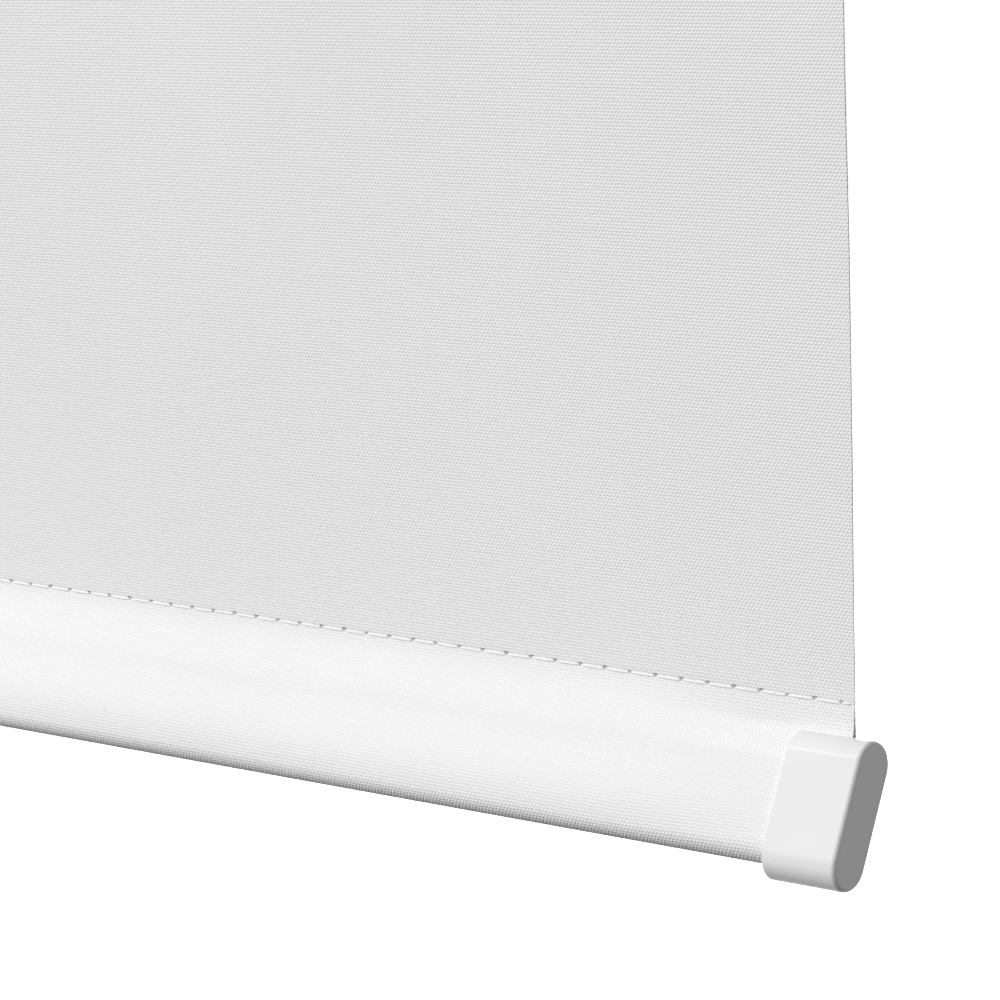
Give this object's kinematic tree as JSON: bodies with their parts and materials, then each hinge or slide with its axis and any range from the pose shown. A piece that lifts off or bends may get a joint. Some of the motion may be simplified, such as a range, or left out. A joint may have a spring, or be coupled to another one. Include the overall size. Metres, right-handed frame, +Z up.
{
  "type": "roller shade",
  "caption": "White woven roller shade on a spring roller between two wall brackets, with a stitched hem bar and glossy oval end caps.",
  "frame": {"origin": "on the wall, at the centre of the four bracket screw holes, straight behind the roller axis", "axes": "+X to the right as seen from the room, along the roller; +Y towards the wall; +Z up"},
  "size_m": [0.6828, 0.055, 0.9133],
  "materials": {
    "shade_fabric": "coated plain weave",
    "glossy_white": "glossy",
    "moulded_white": "satin",
    "white_vinyl": "satin",
    "natural_nylon": "satin",
    "bracket_steel": "zinc plated",
    "bright_steel": "zinc plated",
    "spring_steel": "dark, oiled",
    "tube_aluminium": "mill finish"
  },
  "bodies": {
    "wall_side": {"bracket_left": "bracket_steel", "bracket_right": "bracket_steel", "spear": "bright_steel", "ratchet_hub": "bright_steel", "arbor_rod": "bright_steel", "rod_pin": "bright_steel", "spring_anchor": "natural_nylon", "torsion_spring": "spring_steel", "shade_cloth": "shade_fabric"},
    "roller": {"roller_tube": "tube_aluminium", "cloth_spline": "white_vinyl", "fabric_roll": "shade_fabric", "end_housing": "moulded_white", "housing_bush": "natural_nylon", "pawl_pins": "bright_steel", "spring_plug": "natural_nylon", "idler_plug": "moulded_white", "spring_seat": "natural_nylon", "idler_spring": "spring_steel"},
    "upper_pawl": {"pawl_upper": "bright_steel"},
    "lower_pawl": {"pawl_lower": "bright_steel"},
    "sprung_pin": {"idler_pin": "natural_nylon"},
    "hem": {"hem_sleeve": "shade_fabric", "bottom_bar": "tube_aluminium", "hem_cap_left": "glossy_white", "hem_cap_right": "glossy_white"}
  },
  "joints": [
    {"name": "roller_spin", "type": "hinge", "parent": "wall_side", "child": "roller", "pos_m": [0, -0.038, 0], "axis": [1, 0, 0], "range_deg": [0, 2520], "deforming": ["torsion_spring"]},
    {"name": "hem_lift", "type": "slide", "parent": "wall_side", "child": "hem", "axis": [0, 0, 1], "range_m": [0, 0.81699], "deforming": ["shade_cloth"]},
    {"name": "upper_pawl_swing", "type": "hinge", "parent": "roller", "child": "upper_pawl", "pos_m": [-0.3143, -0.038, 0.011], "axis": [1, 0, 0], "range_deg": [0, 20]},
    {"name": "lower_pawl_swing", "type": "hinge", "parent": "roller", "child": "lower_pawl", "pos_m": [-0.3143, -0.038, -0.011], "axis": [1, 0, 0], "range_deg": [0, 20]},
    {"name": "sprung_pin_slide", "type": "slide", "parent": "roller", "child": "sprung_pin", "axis": [-1, 0, 0], "range_m": [0, 0.006], "stiffness_N_per_m": 300, "springref_m": -0.004, "deforming": ["idler_spring"]}
  ],
  "couplings": [
    {"joint": "hem_lift", "follows": "roller_spin", "m_per_rad": 0.018575}
  ]
}
